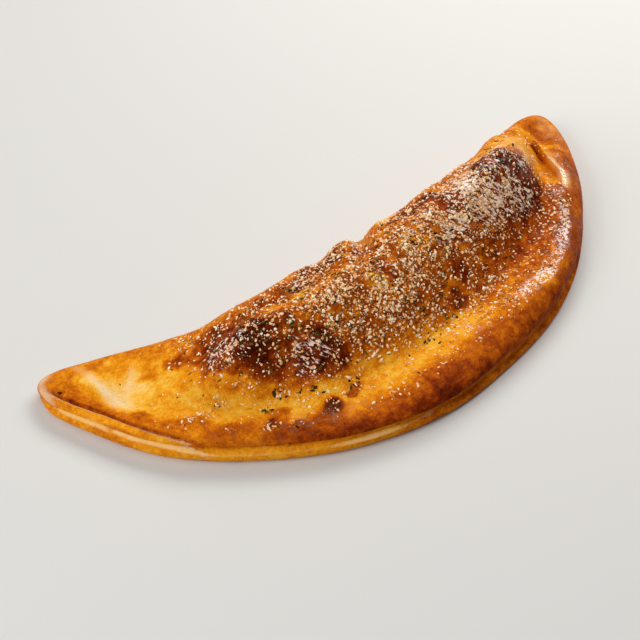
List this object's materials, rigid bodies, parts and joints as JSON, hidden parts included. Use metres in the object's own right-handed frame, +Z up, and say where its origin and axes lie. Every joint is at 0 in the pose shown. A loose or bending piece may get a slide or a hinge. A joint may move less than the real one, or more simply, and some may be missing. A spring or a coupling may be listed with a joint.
{
  "type": "calzone",
  "caption": "Baked half-moon calzone with a rolled rim, lumpy browned crown, and grated cheese and herb flakes pressed into its top.",
  "frame": {"origin": "middle of the bounding box in plan, on the flat underside", "axes": "+X from the blunt tip to the curled tip, +Y towards the folded edge, +Z up from the surface it lies on"},
  "size_m": [0.3908, 0.159, 0.0573],
  "materials": {
    "crust": null
  },
  "bodies": {
    "root": {"calzone": "crust"}
  },
  "joints": []
}
